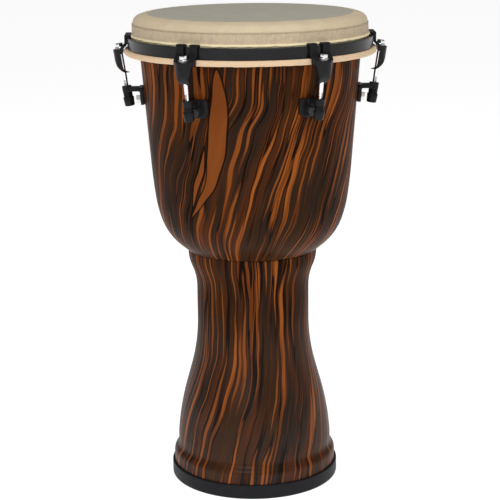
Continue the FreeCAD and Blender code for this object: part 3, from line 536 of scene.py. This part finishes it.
def at_lug(piece, lug):
    """A copy of a piece made at lug 1, turned to another lug."""
    copy = piece.copy()
    copy.data = piece.data.copy()
    bpy.context.scene.collection.objects.link(copy)
    turn = Matrix.Rotation(math.tau * (lug - 1) / len(LUGS), 4, "Z")
    copy.data.transform(turn)
    return copy


def group(piece, name, weight_of):
    """A vertex group whose weights come from each vertex's place."""
    made = piece.vertex_groups.new(name=name)
    for vertex in piece.data.vertices:
        weight = weight_of(vertex.co)
        if weight > 0:
            made.add([vertex.index], weight, "REPLACE")
    return made


def ripple(piece, name, size, strength, direction, weight_of, middle=0.5):
    """Uneven waves, where weight_of says, as wide as size."""
    waves = bpy.data.textures.new(name, "CLOUDS")
    waves.noise_scale = size
    waves.noise_depth = 2
    group(piece, name, weight_of)
    apply(piece, name, "DISPLACE", texture=waves, texture_coords="LOCAL", strength=strength,
          mid_level=middle, direction=direction, vertex_group=name)


def ramp(value, start, end):
    """0 at start and 1 at end, smoothly."""
    share = min(max((value - start) / (end - start), 0.0), 1.0)
    return share * share * (3 - 2 * share)


# ---------------------------------------------------------------- drum head

SKIN_THICKNESS = 0.001
CREST_RADIUS = 0.1386
# The shoulder is an arc from level down to this many degrees, then a tighter one at the corner.
SHOULDER_ROLL, SHOULDER_END = 0.0346, 23
CORNER_ROLL, CORNER_END = 0.0099, 85
LIP_ROUND = 0.0024

def off_claw(place):
    """0 beside a claw and 1 between claws."""
    station = math.tau / len(LUGS)
    angle = math.atan2(place.y, place.x)
    away = abs((angle + station / 2) % station - station / 2)
    return ramp(math.degrees(away), 7.0, 11.0)


def make_head():
    """The skin: flat disc, rounded shoulder, ragged flap, and the tuck round the flesh hoop."""
    skin, top, crest = SKIN_THICKNESS, DRUM_TOP, CREST_RADIUS
    roll = (crest, top - SHOULDER_ROLL)
    lean = math.radians(SHOULDER_END)
    roll_end = (roll[0] + SHOULDER_ROLL * math.sin(lean), roll[1] + SHOULDER_ROLL * math.cos(lean))
    corner = (roll_end[0] - CORNER_ROLL * math.sin(lean), roll_end[1] - CORNER_ROLL * math.cos(lean))
    foot, lip_top = skin_low.z, FLESH_TOP + skin * 1.15
    lip = FOLD_RADIUS
    outline = [(share * crest, top) for share in (0.04, 0.2, 0.4, 0.6, 0.8, 0.93, 1.0)]
    outline += arc(roll, SHOULDER_ROLL, 0, SHOULDER_END, 5)
    outline += arc(corner, CORNER_ROLL, SHOULDER_END, CORNER_END, 8)
    outline += [(0.15822, 0.64320), (0.15800, 0.64265), (0.15850, 0.64225), (0.15925, 0.64215),
                (0.15958, 0.64180)]
    outline += [(0.1596, 0.6412 - 0.0011 * step) for step in range(11)]
    outline += [(0.15985, 0.62930), (0.16035, 0.62830), (0.16085, 0.62740), (0.16115, 0.62665),
                (0.16110, 0.62605), (0.16070, 0.62565), (0.16010, 0.62560), (0.15965, 0.62510)]
    outline += [(0.15960, 0.6200), (0.15960, 0.6130), (0.15975, lip_top + 0.0004),
                (0.16100, lip_top), (0.1640, lip_top), (lip - LIP_ROUND, lip_top)]
    outline += arc((lip - LIP_ROUND, lip_top - LIP_ROUND), LIP_ROUND, 0, 90, 5)
    outline += [(lip, lip_top - 0.0037)]
    outline += arc((lip - LIP_ROUND, foot + LIP_ROUND), LIP_ROUND, 90, 180, 5)
    outline += [(0.1640, foot), (0.16000, foot)]
    outline += [(0.15815, foot + 0.0007), (0.15745, foot + 0.0024), (0.15745, 0.6200),
                (0.15745, 0.6330), (0.15745, 0.6400)]
    outline += arc(corner, CORNER_ROLL - skin, CORNER_END, SHOULDER_END, 6)
    outline += arc(roll, SHOULDER_ROLL - skin, SHOULDER_END, 0, 4)
    outline += [(share * crest, top - skin) for share in (0.93, 0.6, 0.3, 0.04)]
    head = turned_piece(outline, 384)

    def outside(place):
        return math.hypot(place.x, place.y) > 0.1579

    ripple(head, "creases", 0.0085, 0.0011, "NORMAL",
           lambda p: outside(p) * ramp(p.z, 0.6285, 0.6310) * ramp(p.z, 0.6424, 0.6405), 0.62)
    ripple(head, "fine_creases", 0.0030, 0.0005, "NORMAL",
           lambda p: outside(p) * ramp(p.z, 0.6250, 0.6290) * ramp(p.z, 0.6424, 0.6410))
    ripple(head, "ragged_flap", 0.0065, 0.0022, "Z",
           lambda p: outside(p) * ramp(p.z, 0.6395, 0.6416) * ramp(p.z, 0.6440, 0.6426))
    ripple(head, "scallops", 0.0100, 0.0034, "NORMAL",
           lambda p: off_claw(p) * outside(p) * ramp(p.z, 0.6252, 0.6262)
           * ramp(p.z, 0.6292, 0.6274), 0.30)
    ripple(head, "scallop_heights", 0.0120, 0.0022, "Z",
           lambda p: outside(p) * ramp(p.z, 0.6246, 0.6258) * ramp(p.z, 0.6300, 0.6285))
    ripple(head, "uneven_lip", 0.0140, 0.0011, "Z",
           lambda p: (math.hypot(p.x, p.y) > 0.1600) * ramp(p.z, 0.6065, 0.6035))
    ripple(head, "lip_waves", 0.0200, 0.0008, "NORMAL",
           lambda p: (math.hypot(p.x, p.y) > 0.1690) * ramp(p.z, 0.6100, 0.6080), 0.75)
    name_piece(head, "skin_with_tuck", SKIN, None)
    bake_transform(head)
    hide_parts("head_skin")


# ---------------------------------------------------------------- castings

CLAW_VOXEL = 0.00055
BRACKET_VOXEL = 0.0006
# How far the cast skin is drawn in, which keeps the claw clear of the hoop as it slides.
CLAW_CLEARANCE = 0.00013
BRACKET_CLEARANCE = 0.00002


def make_castings():
    """Claws and brackets, with the rounded edges that they leave the mould with."""
    claw = cast_shape("claw_1", CLAW_VOXEL, 4, CLAW_CLEARANCE)
    bracket = cast_shape("lug_bracket_1", BRACKET_VOXEL, 3, BRACKET_CLEARANCE)
    for lug in LUGS:
        for pattern, name, node, body in (
                (claw, "cast_claw", "claw", f"claw_{lug}"),
                (bracket, "cast_bracket", "lug_bracket", "root")):
            piece = at_lug(pattern, lug)
            name_piece(piece, f"{name}_{lug}", CAST, body)
            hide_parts(f"{node}_{lug}")
    for pattern in (claw, bracket):
        bpy.data.objects.remove(pattern)


# ---------------------------------------------------------------- rods and their nuts

ROD_HEX = 0.0094
ROD_HEAD_DEPTH = 0.0046
ROD_HEAD_MIDDLE = 0.0038


def stand_on_rod(piece):
    """Puts a piece made upright, with the claw's seat at its origin, on the rod of lug 1."""
    axis = -Vector(lug_joints["claw_1_slide"]["axis"])
    lean = Vector((0, 0, 1)).rotation_difference(axis).to_matrix().to_4x4()
    piece.data.transform(Matrix.Translation(ROD_SEAT) @ lean)


def make_rod():
    """A tension rod: six-sided head on a flange, plain upper shank, cut thread below it."""
    radius, length = 0.003, 0.072
    thread_top, pitch, depth = -0.0440, 0.001, 0.00042
    rings = [(0.0006, 0.0016), (0.0054, 0.0016), (0.0058, 0.0014), (0.0060, 0.0010),
             (0.0060, 0.0003), (0.0058, 0.00006), (radius, 0.00006), (radius, thread_top)]
    height = thread_top
    while height - pitch > -length + 0.001:
        rings += [(radius - depth, height - pitch * 0.5), (radius - 0.00005, height - pitch * 0.9),
                  (radius - 0.00005, height - pitch)]
        height -= pitch
    rings += [(radius - 0.0007, -length), (0.0005, -length)]
    rod = turned_piece([(r, h + SEAT_LIFT) for r, h in rings], 28)
    deselect()
    bpy.ops.mesh.primitive_cylinder_add(
        vertices=6, radius=ROD_HEX / math.sqrt(3), depth=ROD_HEAD_DEPTH,
        location=(0, 0, ROD_HEAD_MIDDLE + SEAT_LIFT))
    head = bpy.context.object
    bpy.ops.object.transform_apply(location=True, rotation=False, scale=False)
    bpy.ops.object.mode_set(mode="EDIT")
    bpy.ops.mesh.select_all(action="SELECT")
    bpy.ops.mesh.bevel(offset=0.0004, segments=2)
    bpy.ops.object.mode_set(mode="OBJECT")
    bpy.ops.object.shade_smooth_by_angle(angle=math.radians(40))
    head.select_set(True)
    rod.select_set(True)
    bpy.context.view_layer.objects.active = rod
    bpy.ops.object.join()
    return rod


def make_barrel():
    """A barrel nut: knurled neck under the bracket's arm, then the smooth tapered barrel."""
    top = BARREL_TOP
    length, wide, narrow = 0.0186, 0.0074, 0.0067
    rings = [(0.0033, top), (0.0061, top)]
    height = top - 0.0003
    for _ in range(4):
        rings += [(0.0064, height), (0.0064, height - 0.0006), (0.0058, height - 0.0009),
                  (0.0058, height - 0.0012)]
        height -= 0.0014
    rings += [(0.0066, height - 0.0002), (wide - 0.0003, height - 0.0006),
              (wide, height - 0.0014), (wide - 0.0003, (height + top - length) / 2),
              (narrow + 0.0001, top - length + 0.0012), (narrow - 0.0003, top - length + 0.0004),
              (narrow - 0.0010, top - length), (0.0020, top - length), (0.0003, top - length)]
    return turned_piece(rings, 40)


def make_rods():
    rod, barrel = make_rod(), make_barrel()
    for piece in (rod, barrel):
        stand_on_rod(piece)
    for lug in LUGS:
        for pattern, name, node, slot, finish, body in (
                (rod, "threaded_rod", "tension_rod", "chrome", PLATING, f"rod_{lug}"),
                (barrel, "ribbed_barrel", "barrel_nut", "black_metal", CAST, "root")):
            piece = at_lug(pattern, lug)
            name_piece(piece, f"{name}_{lug}", finish, body)
            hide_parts(f"{node}_{lug}")
    for pattern in (rod, barrel):
        bpy.data.objects.remove(pattern)


make_head()
make_castings()
make_rods()


# ---------------------------------------------------------------- stage, light and camera


def lay_floor():
    bpy.ops.mesh.primitive_plane_add(size=30, location=(0, 0, 0))
    floor = bpy.context.object
    floor.name = "floor"
    finish = Finish("pale_floor", Roughness=0.9)
    finish.wear(Base_Color=(0.9, 0.9, 0.9, 1.0), Emission_Color=(1, 1, 1, 1))
    finish.wear(Emission_Strength=0.72)
    floor.data.materials.append(finish.material)


def add_light(name, place, aim, size, power):
    bpy.ops.object.light_add(type="AREA", location=place)
    light = bpy.context.object
    light.name = name
    light.data.shape = "RECTANGLE"
    light.data.size, light.data.size_y = size
    light.data.energy = power
    towards = Vector(aim) - Vector(place)
    light.rotation_euler = towards.to_track_quat("-Z", "Y").to_euler()
    return light


def light_studio():
    world = bpy.data.worlds.new("studio")
    world.use_nodes = True
    world.node_tree.nodes["Background"].inputs["Color"].default_value = (1, 1, 1, 1)
    world.node_tree.nodes["Background"].inputs["Strength"].default_value = 0.25
    bpy.context.scene.world = world
    add_light("front_box", (-0.7, -2.6, 1.7), (0, 0, 0.4), (1.3, 1.3), 27)
    add_light("right_strip", (1.9, -1.3, 1.2), (0, 0, 0.4), (0.3, 1.6), 2.5)
    add_light("top_box", (0.2, -0.6, 2.4), (0, 0, 0.5), (1.4, 1.2), 21)


CAMERA_DISTANCE = 2.1174
CAMERA_HEIGHT = 0.8473
CAMERA_PITCH = 13.87
CAMERA_YAW = -1.4
CAMERA_ROLL = -0.63
CAMERA_SIDE = -0.0034
CAMERA_LENS = 112.3


def place_camera():
    yaw = math.radians(CAMERA_YAW)
    data = bpy.data.cameras.new("camera")
    camera = bpy.data.objects.new("camera", data)
    bpy.context.scene.collection.objects.link(camera)
    data.lens = CAMERA_LENS
    data.sensor_width = 36.0
    turn = Matrix.Rotation(yaw, 4, "Z") @ Matrix.Rotation(math.radians(90 - CAMERA_PITCH), 4, "X")
    turn = turn @ Matrix.Rotation(math.radians(CAMERA_ROLL), 4, "Z")
    place = Matrix.Rotation(yaw, 4, "Z") @ Vector((CAMERA_SIDE, -CAMERA_DISTANCE, CAMERA_HEIGHT))
    camera.matrix_world = Matrix.Translation(place) @ turn
    bpy.context.scene.camera = camera


lay_floor()
light_studio()
place_camera()
bpy.context.scene.view_settings.view_transform = "Standard"
